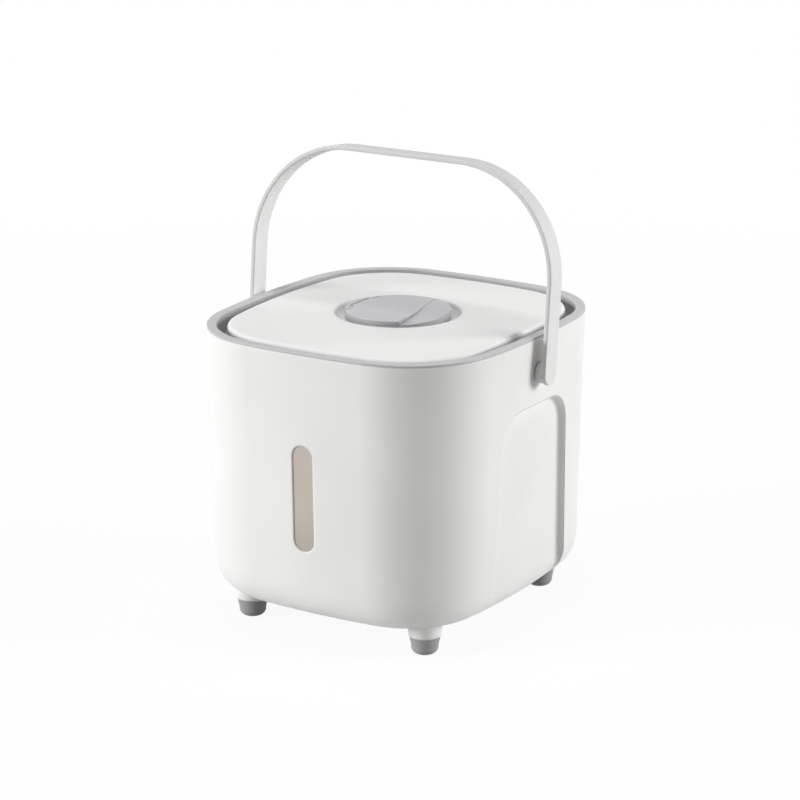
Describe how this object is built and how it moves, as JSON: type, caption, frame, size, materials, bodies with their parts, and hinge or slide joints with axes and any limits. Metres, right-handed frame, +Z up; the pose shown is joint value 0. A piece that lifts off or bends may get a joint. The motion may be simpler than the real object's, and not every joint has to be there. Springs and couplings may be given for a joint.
{
  "type": "grain storage container",
  "caption": "Rounded-square grain bin on short feet, with a swing-up bail handle, a window slot in front and a lift-off sealed lid that has a round flip-up pull.",
  "frame": {"origin": "on the floor, under the middle of the bin", "axes": "+Z up; -Y to the front with the window; the handle's pivots are on +X and -X"},
  "size_m": [0.2264, 0.23, 0.3012],
  "materials": {
    "white_shell": "satin moulded polypropylene",
    "white_lid": "satin moulded polypropylene",
    "white_handle": "satin moulded polypropylene",
    "grey_ring": "satin moulded polypropylene",
    "grey_pull": "satin moulded polypropylene",
    "clear_window": "translucent styrene",
    "grey_foot": "matt soft plastic",
    "seal": "matt silicone",
    "steel": "plain"
  },
  "bodies": {
    "bin": {"body_shell": "white_shell", "mouth_ring": "grey_ring", "window_lens": "clear_window", "foot_cap_front_left": "grey_foot", "foot_cap_front_right": "grey_foot", "foot_cap_rear_left": "grey_foot", "foot_cap_rear_right": "grey_foot"},
    "handle": {"carry_handle": "white_handle"},
    "lid": {"lid_cover": "white_lid", "lid_base": "white_lid", "lid_seal": "seal", "pull_base": "grey_pull", "pull_pin": "steel", "pull_screws": "steel"},
    "pull": {"pull_flap": "grey_pull"}
  },
  "joints": [
    {"name": "handle_swing", "type": "hinge", "parent": "bin", "child": "handle", "pos_m": [0, 0, 0.1725], "axis": [1, 0, 0], "range_deg": [-104.5, 115.5]},
    {"name": "lid_lift", "type": "slide", "parent": "bin", "child": "lid", "axis": [0, 0, 1], "range_m": [0, 0.04]},
    {"name": "pull_flip", "type": "hinge", "parent": "lid", "child": "pull", "pos_m": [-0.0287, 0, 0.19865], "axis": [0, -1, 0], "range_deg": [0, 90]}
  ]
}
